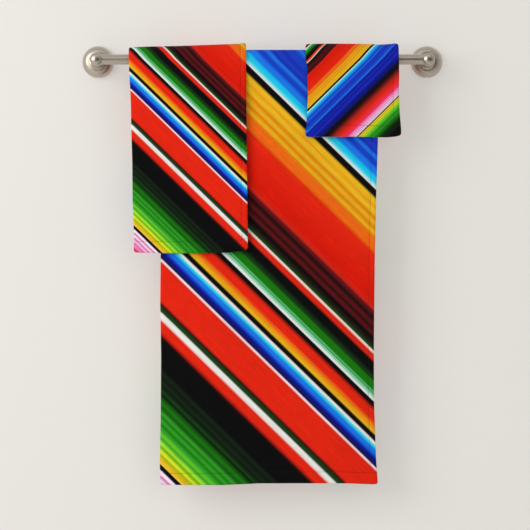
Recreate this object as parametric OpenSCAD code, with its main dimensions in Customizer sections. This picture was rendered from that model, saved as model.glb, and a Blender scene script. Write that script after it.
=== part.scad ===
// Bath towel set on a wall rail: bath towel, hand towel and washcloth, each folded in half
// lengthwise and draped half and half over a round rail.
// +X runs along the rail, the wall is the plane y = 0, the room is towards -Y, and +Z is up.
// The origin is on the wall, at the centre of the four wall screw holes.

/* [Rail] */
// Distance between the centres of the two posts
post_spacing = 584; // [580:1:640]
// Distance from the wall to the rail's axis
rail_reach = 68; // [64:1:80]
// Outside diameter of the rail tube
tube_d = 18; // [16:0.5:18]
// Wall thickness of the rail tube
tube_wall = 1.2; // [0.8:0.1:2]
// Diameter of each post
post_d = 22; // [21.5:0.5:24]
// Height of the dome on the front of each post
cap_h = 7; // [4:0.5:8]

/* [Flange] */
// Diameter of each flange at the wall
flange_d = 56; // [55:0.2:60]
// Height of the flange's straight rim
rim_h = 4; // [3:0.2:6]
// Height of the whole flange, up to the foot of the post
flange_h = 19; // [18:0.5:24]
// Diameter of the cup-shaped wall plate under the flange
plate_d = 35; // [33:0.5:36]
// Depth of the wall plate's cup
plate_h = 9; // [8:0.5:9]
// Distance between the two screw holes of one wall plate
hole_spacing = 20; // [18:0.5:20]
// Diameter of the wall screw holes
hole_d = 5.2; // [4:0.1:5.5]

/* [Bath towel] */
// Left edge of the bath towel
bath_left = -179.5; // [-190:0.5:-170]
// Width of the bath towel once folded in half
bath_w = 380; // [360:1:390]
// Thickness of its two layers
bath_t = 6; // [4:0.1:6]
// Length in front of the rail, measured from the rail's axis
bath_front = 744; // [600:1:900]
// Length behind the rail, measured from the rail's axis
bath_back = 742; // [600:1:900]

/* [Hand towel] */
// Left edge of the hand towel
hand_left = -231; // [-232:0.5:-225]
// Width of the hand towel once folded in half
hand_w = 203; // [180:1:208]
// Thickness of its two layers
hand_t = 5.4; // [4:0.1:5.4]
// Length in front of the rail
hand_front = 340; // [250:1:400]
// Length behind the rail
hand_back = 312; // [250:1:400]

/* [Washcloth] */
// Left edge of the washcloth
wash_left = 76.5; // [70:0.5:78]
// Width of the washcloth once folded in half
wash_w = 164.5; // [140:0.5:165]
// Thickness of its two layers
wash_t = 5; // [4:0.1:5.4]
// Length in front of the rail
wash_front = 137; // [100:1:160]
// Length behind the rail
wash_back = 134; // [100:1:160]

/* [Hems and labels] */
// Height of the hem across each end of a towel
end_hem = 20; // [12:1:25]
// Width of the hem along each side of a towel
side_hem = 10; // [8:1:15]
// Width of a care label
label_w = 28; // [20:1:35]
// Height of a care label
label_h = 42; // [30:1:45]

/* [Hidden] */

$fn = 96;
LEFT = -1;
RIGHT = 1;
FRONT = -1;
BACK = 1;

fit = 0.05;             // radial room of a pin in its hole
tube_r = tube_d / 2;
socket_depth = 6;       // how far the tube passes the post's centre
tube_end_gap = 0.5;     // room between the tube's end and the socket's floor
post_nose = 4;          // how far the post's front stands past the front of the tube
post_front = rail_reach + tube_r + post_nose;
foot_spread = 4;        // how far the post's foot spreads out over the flange
foot_edge = 0.4;        // thickness of the foot's outer edge

flange_wall = 3;
flange_web = 3.8;       // thickness of the flange under the post
neck_r = post_d / 2 + foot_spread;
plate_wall = 1.5;

screw_r = 2.5;
stem_screw_length = 18;
stem_head_r = 4.6;
stem_head_h = 3;
cross_arm = [5, 1, 3];  // one arm of the cross recess, half of it above the head
hole_tip = 1;           // how far a blind hole runs on past the end of its screw
set_screw_height = 4.5; // distance of the set screw's axis from the wall
set_screw_out = 2.4;    // how deep its outer end lies in the rim
lug_r = 3.4;
lug_gap = 1;            // room between the lug and the wall plate
notch_r = lug_r + 0.2;  // half the width of the key's notch in the rim
notch_floor = flange_d / 2 - set_screw_out + 0.2;
hex_r = 1.44;           // corner radius of the 2.5 mm hexagon socket
socket_h = 3;

gap_to_rail = 0.3;      // room between the bath towel and the rail
gap_to_bath = 0.6;      // room between the bath towel and a towel that lies over it
hinge_gap = 0.4;        // room above the rounded top of a front drop that swings
label_t = 0.6;
label_inset = 30;       // distance of a label from its towel's left edge
label_rise = 8;         // height of a label's lower edge above the towel's lower edge

// A towel is [left edge, width, inner radius, thickness, front length, back length].
over_bath = tube_r + gap_to_rail + bath_t + gap_to_bath;
BATH = [bath_left, bath_w, tube_r + gap_to_rail, bath_t, bath_front, bath_back];
HAND = [hand_left, hand_w, over_bath, hand_t, hand_front, hand_back];
WASH = [wash_left, wash_w, over_bath, wash_t, wash_front, wash_back];

function left_edge(towel) = towel[0];
function width(towel) = towel[1];
function inner_r(towel) = towel[2];
function outer_r(towel) = towel[2] + towel[3];
function thickness(towel) = towel[3];
function middle_r(towel) = towel[2] + towel[3] / 2;
function drop_length(towel, side) = side == FRONT ? towel[4] : towel[5];

// ---- towel rail ----

// Turns a shape whose Z axis is the distance from the wall into a post's place.
module at_post(side)
    translate([side * post_spacing / 2, 0, 0])
        rotate([90, 0, 0])
            children();

module rail_tube()
    color("tan")
        rotate([0, 90, 0])
            translate([0, -rail_reach, 0])
                difference() {
                    tube_length = post_spacing + 2 * (socket_depth - tube_end_gap);
                    cylinder(r = tube_r, h = tube_length, center = true);
                    cylinder(r = tube_r - tube_wall, h = tube_length + 2, center = true);
                }

// Round post with a domed front, a blind side socket for the tube and a tapped hole in its foot.
module post(side)
    color("rosybrown")
        at_post(side)
            difference() {
                rotate_extrude()
                    polygon([
                        [0, flange_h],
                        [neck_r, flange_h],
                        for (a = [0:15:90])
                            [
                                neck_r - foot_spread * sin(a),
                                flange_h + foot_edge + foot_spread * (1 - cos(a)),
                            ],
                        for (a = [0:9:81])
                            [post_d / 2 * cos(a), post_front - cap_h + cap_h * sin(a)],
                        [0, post_front],
                    ]);
                translate([side * socket_depth, 0, rail_reach])
                    rotate([0, -90 * side, 0])
                        cylinder(r = tube_r + fit, h = post_d);
                translate([0, 0, flange_h - 1])
                    cylinder(r = screw_r + fit, h = 1 + stem_screw_length - flange_web + hole_tip);
            }

function flange_outside() = [
    [flange_d / 2, 0],
    for (a = [0:9:90])
        [neck_r + (flange_d / 2 - neck_r) * cos(a), rim_h + (flange_h - rim_h) * sin(a)],
];

function flange_inside() = [
    [screw_r + 0.25, flange_h],
    [screw_r + 0.25, flange_h - flange_web],
    for (a = [90:-15:0])
        [
            neck_r + (flange_d / 2 - flange_wall - neck_r) * cos(a),
            rim_h + (flange_h - flange_web - rim_h) * sin(a),
        ],
    [flange_d / 2 - flange_wall, 0],
];

// Points a shape's Z axis at the floor, at the height of the set screw.
module at_set_screw(side)
    at_post(side)
        translate([0, 0, set_screw_height])
            rotate([90, 0, 0])
                children();

// Hollow bell with a short straight rim, a tapped lug for the set screw and a notch for its key.
module flange(side)
    color("tan")
        difference() {
            union() {
                at_post(side)
                    rotate_extrude()
                        polygon(concat(flange_outside(), flange_inside()));
                at_set_screw(side)
                    translate([0, 0, plate_d / 2 + lug_gap])
                        cylinder(r = lug_r, h = flange_d / 2 - set_screw_out - plate_d / 2 - lug_gap);
            }
            at_set_screw(side)
                translate([0, 0, plate_d / 2])
                    cylinder(r = screw_r + fit, h = flange_d / 2);
            at_set_screw(side)
                translate([0, 0, notch_floor]) {
                    cylinder(r = notch_r, h = flange_d / 2);
                    translate([-notch_r, -set_screw_height - 1, 0])
                        cube([2 * notch_r, set_screw_height + 1, flange_d / 2]);
                }
        }

// Pressed cup screwed to the wall; the set screw grips its side.
module wall_plate(side)
    color("lightgray")
        at_post(side)
            difference() {
                cylinder(r = plate_d / 2, h = plate_h);
                translate([0, 0, plate_wall])
                    cylinder(r = plate_d / 2 - plate_wall, h = plate_h);
                for (end = [-1, 1])
                    translate([0, end * hole_spacing / 2, -1])
                        cylinder(r = hole_d / 2, h = plate_wall + 2);
            }

// Pan-head screw that holds the post to the flange.
module stem_screw(side)
    color("silver")
        at_post(side)
            translate([0, 0, flange_h - flange_web])
                difference() {
                    union() {
                        cylinder(r = screw_r, h = stem_screw_length);
                        translate([0, 0, -stem_head_h])
                            cylinder(r = stem_head_r, h = stem_head_h);
                    }
                    for (turn = [0, 90])
                        rotate([0, 0, turn])
                            translate([0, 0, -stem_head_h])
                                cube(cross_arm, center = true);
                }

// Grub screw with a hexagon socket, tip against the wall plate.
module set_screw(side)
    color("dimgray")
        at_set_screw(side)
            difference() {
                outer_end = flange_d / 2 - set_screw_out;
                translate([0, 0, plate_d / 2 + fit])
                    cylinder(r = screw_r, h = outer_end - plate_d / 2 - fit);
                translate([0, 0, outer_end - socket_h])
                    cylinder(r = hex_r, h = socket_h + 1, $fn = 6);
            }

// ---- towels ----

// Carries a cross-section, drawn round the rail's axis, along the rail for a width w from x.
module strip(x, w)
    translate([x, -rail_reach, 0])
        rotate([90, 0, 90])
            linear_extrude(w)
                children();

// Cross-section of the bend over the rail, down to a level below which it is cut off in front.
module bend(towel, front_level = 0)
    difference() {
        circle(r = outer_r(towel));
        circle(r = inner_r(towel));
        translate([-2 * outer_r(towel), -2 * outer_r(towel)])
            square([4 * outer_r(towel), 2 * outer_r(towel)]);
        translate([-2 * outer_r(towel), -1])
            square([2 * outer_r(towel), front_level + 1]);
    }

// Cross-section of one drop between two distances below the rail's axis.
module drop(towel, side, top, bottom)
    translate([side * middle_r(towel) - thickness(towel) / 2, -bottom])
        square([thickness(towel), bottom - top]);

// Cross-section of the rounded top on which a front drop swings.
module knuckle(towel)
    translate([FRONT * middle_r(towel), 0])
        circle(r = thickness(towel) / 2);

function body_width(towel) = width(towel) - side_hem;
function hem_left(towel) = left_edge(towel) + body_width(towel);
function swing_level(towel) = thickness(towel) / 2 + hinge_gap;

module whole_cloth(towel)
    strip(left_edge(towel), body_width(towel)) {
        bend(towel);
        for (side = [FRONT, BACK])
            drop(towel, side, 0, drop_length(towel, side) - end_hem);
    }

// The side hem of a towel whose front drop stays still.
module still_back_side_hem(towel)
    strip(hem_left(towel), side_hem) {
        bend(towel);
        drop(towel, BACK, 0, drop_length(towel, BACK));
    }

module still_front_side_hem(towel)
    strip(hem_left(towel), side_hem)
        drop(towel, FRONT, 0, drop_length(towel, FRONT));

// The bend and the back drop of a towel whose front drop swings.
module back_part(towel, x, w, bottom)
    strip(x, w) {
        bend(towel, swing_level(towel));
        drop(towel, BACK, 0, bottom);
    }

module front_part(towel, x, w, bottom)
    strip(x, w) {
        knuckle(towel);
        drop(towel, FRONT, 0, bottom);
    }

module back_drop(towel)
    back_part(towel, left_edge(towel), body_width(towel), drop_length(towel, BACK) - end_hem);

module front_drop(towel)
    front_part(towel, left_edge(towel), body_width(towel), drop_length(towel, FRONT) - end_hem);

module back_side_hem(towel)
    back_part(towel, hem_left(towel), side_hem, drop_length(towel, BACK));

module front_side_hem(towel)
    front_part(towel, hem_left(towel), side_hem, drop_length(towel, FRONT));

module end_hem_strip(towel, side)
    strip(left_edge(towel), body_width(towel))
        drop(towel, side, drop_length(towel, side) - end_hem, drop_length(towel, side));

// Blank label on the wall side of the back drop.
module label(towel)
    color("white")
        translate([
            left_edge(towel) + label_inset,
            -rail_reach + outer_r(towel),
            label_rise - drop_length(towel, BACK),
        ])
            cube([label_w, label_t, label_h]);

// ---- nodes ----

module left_post() post(LEFT);
module right_post() post(RIGHT);
module left_flange() flange(LEFT);
module right_flange() flange(RIGHT);
module left_wall_plate() wall_plate(LEFT);
module right_wall_plate() wall_plate(RIGHT);
module left_stem_screw() stem_screw(LEFT);
module right_stem_screw() stem_screw(RIGHT);
module left_set_screw() set_screw(LEFT);
module right_set_screw() set_screw(RIGHT);

module bath_cloth() color("orangered") whole_cloth(BATH);
module bath_back_side_hem() color("firebrick") still_back_side_hem(BATH);
module bath_front_side_hem() color("firebrick") still_front_side_hem(BATH);
module bath_front_hem() color("black") end_hem_strip(BATH, FRONT);
module bath_back_hem() color("black") end_hem_strip(BATH, BACK);
module bath_label() label(BATH);

module hand_back_drop() color("royalblue") back_drop(HAND);
module hand_front_drop() color("darkgreen") front_drop(HAND);
module hand_back_side_hem() color("gold") back_side_hem(HAND);
module hand_front_side_hem() color("gold") front_side_hem(HAND);
module hand_front_hem() color("limegreen") end_hem_strip(HAND, FRONT);
module hand_back_hem() color("limegreen") end_hem_strip(HAND, BACK);
module hand_label() label(HAND);

module wash_back_drop() color("orange") back_drop(WASH);
module wash_front_drop() color("deepskyblue") front_drop(WASH);
module wash_back_side_hem() color("hotpink") back_side_hem(WASH);
module wash_front_side_hem() color("hotpink") front_side_hem(WASH);
module wash_front_hem() color("navy") end_hem_strip(WASH, FRONT);
module wash_back_hem() color("navy") end_hem_strip(WASH, BACK);
module wash_label() label(WASH);

rail_tube();
left_post();
right_post();
left_flange();
right_flange();
left_wall_plate();
right_wall_plate();
left_stem_screw();
right_stem_screw();
left_set_screw();
right_set_screw();
bath_cloth();
bath_back_side_hem();
bath_front_side_hem();
bath_front_hem();
bath_back_hem();
bath_label();
hand_back_drop();
hand_front_drop();
hand_back_side_hem();
hand_front_side_hem();
hand_front_hem();
hand_back_hem();
hand_label();
wash_back_drop();
wash_front_drop();
wash_back_side_hem();
wash_front_side_hem();
wash_front_hem();
wash_back_hem();
wash_label();
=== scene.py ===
import math

import bmesh
import bpy
import numpy as np
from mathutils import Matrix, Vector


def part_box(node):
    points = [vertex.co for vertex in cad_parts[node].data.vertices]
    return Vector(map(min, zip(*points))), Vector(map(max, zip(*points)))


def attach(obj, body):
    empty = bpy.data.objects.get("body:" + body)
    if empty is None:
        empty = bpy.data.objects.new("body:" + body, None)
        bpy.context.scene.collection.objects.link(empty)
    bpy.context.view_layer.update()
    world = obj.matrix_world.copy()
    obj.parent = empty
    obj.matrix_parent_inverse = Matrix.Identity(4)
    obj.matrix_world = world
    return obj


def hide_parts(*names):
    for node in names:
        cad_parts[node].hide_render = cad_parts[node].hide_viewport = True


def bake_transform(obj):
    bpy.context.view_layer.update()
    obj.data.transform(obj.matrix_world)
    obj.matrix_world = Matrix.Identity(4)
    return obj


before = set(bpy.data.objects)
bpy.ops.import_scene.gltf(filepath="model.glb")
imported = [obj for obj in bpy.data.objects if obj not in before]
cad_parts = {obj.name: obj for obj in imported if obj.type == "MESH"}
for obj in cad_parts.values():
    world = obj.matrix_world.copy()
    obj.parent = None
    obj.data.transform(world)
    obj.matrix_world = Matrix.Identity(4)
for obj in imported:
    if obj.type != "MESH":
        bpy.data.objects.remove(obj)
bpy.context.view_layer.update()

MM = 0.001

# Rail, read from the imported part.
tube_low, tube_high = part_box("rail_tube")
RAIL_Y = (tube_low.y + tube_high.y) / 2

# Cloth: a towel is one sheet folded in half, fold at the left, then laid over the rail.
LAYER_GAP = 0.4 * MM

# Spacing of the mesh: over the cloth, across a hem, round the fold, over the rail, and below the rail
# at the top of a front drop.
CLOTH_STEP = 8 * MM
HEM_STEP = 3 * MM
FOLD_STEP = 0.7 * MM
BEND_STEP = 2.6 * MM
NECK_STEP = 4 * MM
NECK_LENGTH = 60 * MM

# Hems: the groove that the sewing pulls in, and how far the printed side swells beside it. The inner
# layer swells less, and not near the rail, so that it stays clear of the layer it lies on.
GROOVE_DEPTH = 0.55 * MM
GROOVE_WIDTH = 2.4 * MM
END_PILLOW = 0.9 * MM
INNER_PILLOW = 0.2 * MM
PILLOW_RISE = 3.5 * MM
BEND_CLEAR = (30 * MM, 70 * MM)

# Outline: round corners, a back drop that is a little narrower, and how far above an end the unevenness
# of that end dies out.
FREE_CORNER = 6 * MM
FOLD_CORNER = 5 * MM
BACK_INSET = 3 * MM
HEM_RISE_FADE = (20 * MM, 140 * MM)

# How much of the lift over the rail the print follows.
BEND_FOLLOW = 0.6

# Sewing thread.
THREAD_R = 0.27 * MM
STITCH_LENGTH = 2.7 * MM
STITCH_PITCH = 3.6 * MM

# Care labels: how they stand off the cloth, curl away from it, and how thick half of one is.
LABEL_GAP = 0.45 * MM
LABEL_CURL = 1.6 * MM
LABEL_HALF = 0.28 * MM
LABEL_MARGIN = 1.5 * MM
LABEL_SEAM = 2.5 * MM
LABEL_POINTS = 12

# Rows of sewing: spacing of their points, and how far they stop short of an edge.
SIDE_SEAM_STEP = 3 * MM
END_SEAM_STEP = 1.2 * MM
SEAM_MARGIN = 2 * MM

# Coarse sheets that are hung by simulation. They are held down to HANG_HOLD below the rail's axis, and
# the folds begin over HANG_FADE below it. EASE is how far a sheet is cut over width.
HANG_STEP = 14 * MM
HANG_FRAMES = 26
HANG_HOLD = 4 * MM
HANG_FADE = (12 * MM, 90 * MM)
SOFTEN_PASSES = 2
EASE = 0.012
# Ripples that the sheets start with: height, and turns in radians per metre across and along, and offset.
RIPPLES = ((1.2 * MM, 38, 5.1, 0), (0.8 * MM, 71, -8.3, 1.7))
RIPPLE_FADE = 80 * MM

# Camera, level and square to the wall.
CAMERA_LENS = 194.0
CAMERA_PLACE = (0.0044, -5.083, -0.3609)


# ---------------------------------------------------------------- colours

def linear(red, green, blue):
    """Linear light for a colour given in display steps of 0 to 255."""
    steps = [c / 255 for c in (red, green, blue)]
    return [c / 12.92 if c <= 0.04045 else ((c + 0.055) / 1.055) ** 2.4 for c in steps] + [1.0]


DYES = {
    "soot": (12, 11, 12),
    "ember": (40, 13, 14),
    "oxblood": (94, 20, 24),
    "rust": (168, 36, 26),
    "brick": (206, 38, 24),
    "red": (226, 38, 17),
    "deep_red": (213, 24, 6),
    "scarlet": (216, 46, 6),
    "strawberry": (236, 46, 66),
    "raspberry": (226, 56, 106),
    "rose": (200, 96, 152),
    "pink": (250, 138, 198),
    "blush": (255, 190, 236),
    "shell": (241, 186, 178),
    "lilac": (248, 226, 248),
    "white": (230, 230, 227),
    "cream": (238, 222, 206),
    "tangerine": (235, 104, 22),
    "orange": (218, 124, 9),
    "amber": (229, 152, 22),
    "gold": (231, 180, 34),
    "straw": (238, 208, 72),
    "lemon": (228, 231, 46),
    "sprig": (167, 231, 51),
    "lime": (101, 199, 41),
    "moss": (92, 169, 8),
    "olive": (147, 182, 12),
    "green": (50, 158, 40),
    "grass": (26, 118, 14),
    "bottle": (20, 80, 14),
    "fir": (23, 63, 22),
    "pine": (22, 37, 23),
    "night_green": (11, 23, 11),
    "jade": (44, 130, 76),
    "mint": (94, 197, 118),
    "pale_mint": (134, 206, 166),
    "frost": (206, 228, 214),
    "aqua": (92, 216, 226),
    "cyan": (28, 194, 233),
    "azure": (28, 119, 230),
    "royal": (24, 63, 193),
    "cobalt": (28, 44, 174),
    "navy": (10, 22, 148),
    "indigo": (21, 21, 102),
    "ink": (16, 16, 46),
}

# One repeat of the stripe print, in millimetres on the bath towel: each dye, the width of its solid
# band, and the width over which it runs into the next dye. A short run makes a hard edge.
STRIPES = [
    ("soot", 6, 1.5), ("lilac", 3.5, 3.5), ("rose", 0, 5), ("lilac", 0, 4.5), ("rose", 0, 5),
    ("blush", 0, 4.5), ("rose", 0, 4.5), ("pink", 0, 5.5), ("raspberry", 0, 14), ("strawberry", 0, 18),
    ("red", 0, 8), ("brick", 0, 15), ("rust", 0, 15), ("oxblood", 0, 11.5), ("ember", 0, 10),
    ("soot", 0, 10), ("ink", 0, 11), ("indigo", 0, 15), ("navy", 0, 15.5), ("cobalt", 0, 10.5),
    ("navy", 0, 9), ("cobalt", 0, 11), ("navy", 0, 6), ("cobalt", 0, 8), ("azure", 0, 6),
    ("royal", 10.5, 5), ("cobalt", 0, 6.5), ("royal", 0, 7), ("cobalt", 0, 5), ("azure", 0, 5.5),
    ("royal", 5.5, 5), ("azure", 6, 4.5), ("cyan", 4.5, 3.5), ("aqua", 0, 5), ("white", 0, 1.5),
    ("soot", 9, 3.5), ("gold", 6, 3.5), ("amber", 0, 4.5), ("gold", 5, 4.5), ("orange", 0, 7),
    ("gold", 0, 6), ("orange", 0, 7), ("gold", 0, 4), ("orange", 0, 3.5), ("tangerine", 13, 6),
    ("scarlet", 0, 3.5), ("red", 0, 55), ("deep_red", 0, 9.5), ("brick", 0, 4.5), ("oxblood", 2.5, 4),
    ("ember", 3, 6), ("oxblood", 0, 5.5), ("ember", 0, 6.5), ("oxblood", 0, 5), ("soot", 3, 3.5),
    ("ember", 0, 3), ("pine", 0, 3), ("fir", 2.5, 1.5), ("cream", 0, 2.5), ("shell", 0, 2),
    ("brick", 0, 6), ("red", 0, 4), ("soot", 12, 9.5), ("fir", 0, 2.5), ("grass", 10, 2.5),
    ("mint", 0, 2), ("jade", 0, 2), ("pale_mint", 2.5, 1), ("frost", 0, 3.5), ("white", 0, 1),
    ("soot", 6, 6.5), ("red", 11, 4.5), ("tangerine", 0, 5), ("amber", 0, 5.5), ("gold", 0, 2.5),
    ("soot", 6.5, 2), ("white", 2, 2.5), ("aqua", 0, 2.5), ("cyan", 0, 3), ("azure", 4, 4),
    ("royal", 0, 3), ("navy", 0, 4.5), ("indigo", 0, 4), ("ink", 0, 1.5), ("lilac", 0, 2.5),
    ("shell", 0, 1.5), ("brick", 0, 3.5), ("red", 43, 2.5), ("brick", 0, 3.5), ("ember", 0, 5),
    ("fir", 3.5, 2.5), ("white", 6, 2), ("shell", 0, 2.5), ("brick", 0, 2), ("red", 10, 7),
    ("ember", 0, 3), ("soot", 35.5, 6), ("pine", 0, 5), ("night_green", 0, 7), ("pine", 0, 5),
    ("night_green", 0, 6), ("fir", 0, 4.5), ("night_green", 0, 10.5), ("grass", 0, 6),
    ("bottle", 0, 7), ("green", 0, 4), ("grass", 0, 5.5), ("green", 0, 5), ("grass", 0, 5),
    ("green", 1.5, 5.5), ("lime", 0, 5), ("green", 0, 6.5), ("sprig", 0, 4.5), ("moss", 0, 5.5),
    ("lemon", 0, 4.5), ("olive", 0, 5), ("gold", 2.5, 3.5), ("straw", 0, 1.5),
]
REPEAT = sum(solid + run for _, solid, run in STRIPES)
RAMP_STOPS = 31


# ---------------------------------------------------------------- shader groups

def new_group(name, inputs, outputs):
    """An empty shader group with its named sockets; inputs are (name, type, value)."""
    group = bpy.data.node_groups.new(name, "ShaderNodeTree")
    for label, kind, value in inputs:
        socket = group.interface.new_socket(label, in_out="INPUT", socket_type=kind)
        if value is not None:
            socket.default_value = value
    for label, kind in outputs:
        group.interface.new_socket(label, in_out="OUTPUT", socket_type=kind)
    return group, group.nodes.new("NodeGroupInput"), group.nodes.new("NodeGroupOutput")


def feed(tree, socket, value):
    """Links a socket, or sets its value when a plain number or colour is given."""
    if isinstance(value, bpy.types.NodeSocket):
        tree.links.new(value, socket)
    elif value is not None:
        socket.default_value = value


def math_node(tree, operation, first, second=None, third=None):
    node = tree.nodes.new("ShaderNodeMath")
    node.operation = operation
    for socket, value in zip(node.inputs, (first, second, third)):
        feed(tree, socket, value)
    return node.outputs[0]


def noise(tree, vector, scale, detail=2.0, rough=0.5):
    node = tree.nodes.new("ShaderNodeTexNoise")
    feed(tree, node.inputs["Vector"], vector)
    feed(tree, node.inputs["Scale"], scale)
    node.inputs["Detail"].default_value = detail
    node.inputs["Roughness"].default_value = rough
    return node.outputs["Fac"]


def span(tree, value, low, high, to_low=0.0, to_high=1.0):
    node = tree.nodes.new("ShaderNodeMapRange")
    for socket, number in zip(node.inputs, (value, low, high, to_low, to_high)):
        feed(tree, socket, number)
    return node.outputs["Result"]


def mix_colour(tree, factor, first, second, blend="MIX"):
    node = tree.nodes.new("ShaderNodeMix")
    node.data_type = "RGBA"
    node.blend_type = blend
    feed(tree, node.inputs["Factor"], factor)
    feed(tree, node.inputs["A"], first)
    feed(tree, node.inputs["B"], second)
    return next(s for s in node.outputs if s.type == "RGBA")


def stripe_stops():
    """The print's colour stops: the share of the repeat where each stands, and its dye."""
    place, stops = 0.0, []
    for dye, solid, run in STRIPES:
        stops.append((place / REPEAT, dye))
        if solid:
            stops.append(((place + solid) / REPEAT, dye))
        place += solid + run
    return stops + [(1.0, STRIPES[0][0])]


def stripe_ramp(tree, place, stops):
    """The dyes of some neighbouring stops, read at place, 0 to 1."""
    ramp = tree.nodes.new("ShaderNodeValToRGB")
    band = ramp.color_ramp
    band.interpolation = "LINEAR"
    low, high = stops[0][0], stops[-1][0]
    feed(tree, ramp.inputs[0], span(tree, place, low, high))
    for _ in stops[2:]:
        band.elements.new(0.5)
    for element, (share, dye) in zip(band.elements, stops):
        element.position = (share - low) / (high - low)
        element.color = linear(*DYES[dye])
    return ramp.outputs["Color"]


def stripe_group():
    """Diagonal stripe print: reads flat cloth places in metres and gives the dye colour."""
    group, given, out = new_group(
        "Diagonal stripe print",
        [
            ("Cloth Place", "NodeSocketVector", None),
            ("Lengthwise", "NodeSocketFloat", 1.0),
            ("Crosswise", "NodeSocketFloat", 1.0),
            ("Start", "NodeSocketFloat", 0.0),
            ("Edge Wander", "NodeSocketFloat", 0.0005),
        ],
        [("Color", "NodeSocketColor"), ("Yarn", "NodeSocketFloat")],
    )
    place = group.nodes.new("ShaderNodeSeparateXYZ")
    group.links.new(given.outputs["Cloth Place"], place.inputs[0])
    across = math_node(group, "MULTIPLY", place.outputs["X"], given.outputs["Crosswise"])
    run = math_node(group, "MULTIPLY_ADD", place.outputs["Y"], given.outputs["Lengthwise"], across)
    wander = math_node(group, "SUBTRACT", noise(group, given.outputs["Cloth Place"], 420.0), 0.5)
    run = math_node(group, "MULTIPLY_ADD", wander, given.outputs["Edge Wander"], run)
    turn = math_node(group, "FRACT", math_node(group, "ADD", run, given.outputs["Start"]))
    stops = stripe_stops()
    colour = None
    for first in range(0, len(stops) - 1, RAMP_STOPS):
        part = stripe_ramp(group, turn, stops[first:first + RAMP_STOPS + 1])
        if colour is None:
            colour = part
        else:
            past = math_node(group, "GREATER_THAN", turn, stops[first][0])
            colour = mix_colour(group, past, colour, part)
    # Fine lines of yarn run with the stripes: noise stretched along them.
    along = math_node(group, "SUBTRACT", place.outputs["X"], place.outputs["Y"])
    lines = group.nodes.new("ShaderNodeCombineXYZ")
    feed(group, lines.inputs["X"], run)
    feed(group, lines.inputs["Y"], math_node(group, "MULTIPLY", along, 0.02))
    yarn = noise(group, lines.outputs[0], 520.0, 3.0, 0.6)
    group.links.new(colour, out.inputs["Color"])
    group.links.new(yarn, out.inputs["Yarn"])
    return group


def pile_group():
    """Terry or sheared pile: loop height, and light and dark patches where the pile leans."""
    group, given, out = new_group(
        "Cloth pile",
        [
            ("Cloth Place", "NodeSocketVector", None),
            ("Loops Per Metre", "NodeSocketFloat", 900.0),
            ("Lean", "NodeSocketFloat", 0.1),
        ],
        [("Height", "NodeSocketFloat"), ("Shade", "NodeSocketFloat")],
    )
    loops = group.nodes.new("ShaderNodeTexVoronoi")
    group.links.new(given.outputs["Cloth Place"], loops.inputs["Vector"])
    group.links.new(given.outputs["Loops Per Metre"], loops.inputs["Scale"])
    tuft = math_node(group, "SUBTRACT", 1.0, loops.outputs["Distance"])
    fuzz = noise(group, given.outputs["Cloth Place"], given.outputs["Loops Per Metre"], 3.0, 0.6)
    height = math_node(group, "MULTIPLY_ADD", fuzz, 0.6, tuft)
    patches = noise(group, given.outputs["Cloth Place"], 55.0, 3.0, 0.55)
    grain = noise(group, given.outputs["Cloth Place"], 520.0, 2.0, 0.6)
    both = math_node(group, "MULTIPLY_ADD", grain, 0.9, patches)
    lean = math_node(group, "MULTIPLY", math_node(group, "SUBTRACT", both, 0.95), given.outputs["Lean"])
    shade = math_node(group, "ADD", lean, 1.0)
    group.links.new(height, out.inputs["Height"])
    group.links.new(shade, out.inputs["Shade"])
    return group


def grain_group():
    """Brushed metal: fine lines along a chosen direction, and soft handling marks."""
    group, given, out = new_group(
        "Brushed grain",
        [
            ("Place", "NodeSocketVector", None),
            ("Stretch", "NodeSocketVector", (1.0, 1.0, 1.0)),
            ("Line Depth", "NodeSocketFloat", 0.1),
            ("Smooth", "NodeSocketFloat", 0.25),
        ],
        [("Roughness", "NodeSocketFloat"), ("Height", "NodeSocketFloat")],
    )
    scaled = group.nodes.new("ShaderNodeVectorMath")
    scaled.operation = "MULTIPLY"
    group.links.new(given.outputs["Place"], scaled.inputs[0])
    group.links.new(given.outputs["Stretch"], scaled.inputs[1])
    lines = noise(group, scaled.outputs[0], 2400.0, 2.0, 0.6)
    marks = noise(group, given.outputs["Place"], 60.0, 3.0, 0.6)
    rough = math_node(group, "MULTIPLY_ADD", lines, given.outputs["Line Depth"], given.outputs["Smooth"])
    rough = math_node(group, "MULTIPLY_ADD", marks, 0.10, rough)
    group.links.new(rough, out.inputs["Roughness"])
    group.links.new(lines, out.inputs["Height"])
    return group


STRIPE_PRINT = stripe_group()
CLOTH_PILE = pile_group()
BRUSHED_GRAIN = grain_group()


# ---------------------------------------------------------------- materials

def new_material(name):
    material = bpy.data.materials.new(name)
    material.use_nodes = True
    tree = material.node_tree
    shader = next(node for node in tree.nodes if node.type == "BSDF_PRINCIPLED")
    return material, tree, shader


def place_group(tree, group, **values):
    """A group node in a material; names use underscores for spaces."""
    node = tree.nodes.new("ShaderNodeGroup")
    node.node_tree = group
    for label, value in values.items():
        feed(tree, node.inputs[label.replace("_", " ")], value)
    return node


def add_bump(tree, shader, height, strength, distance):
    bump = tree.nodes.new("ShaderNodeBump")
    bump.inputs["Strength"].default_value = strength
    bump.inputs["Distance"].default_value = distance
    tree.links.new(height, bump.inputs["Height"])
    tree.links.new(bump.outputs["Normal"], shader.inputs["Normal"])


def cloth_place(tree):
    node = tree.nodes.new("ShaderNodeUVMap")
    node.uv_map = "Cloth"
    return node.outputs["UV"]


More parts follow.
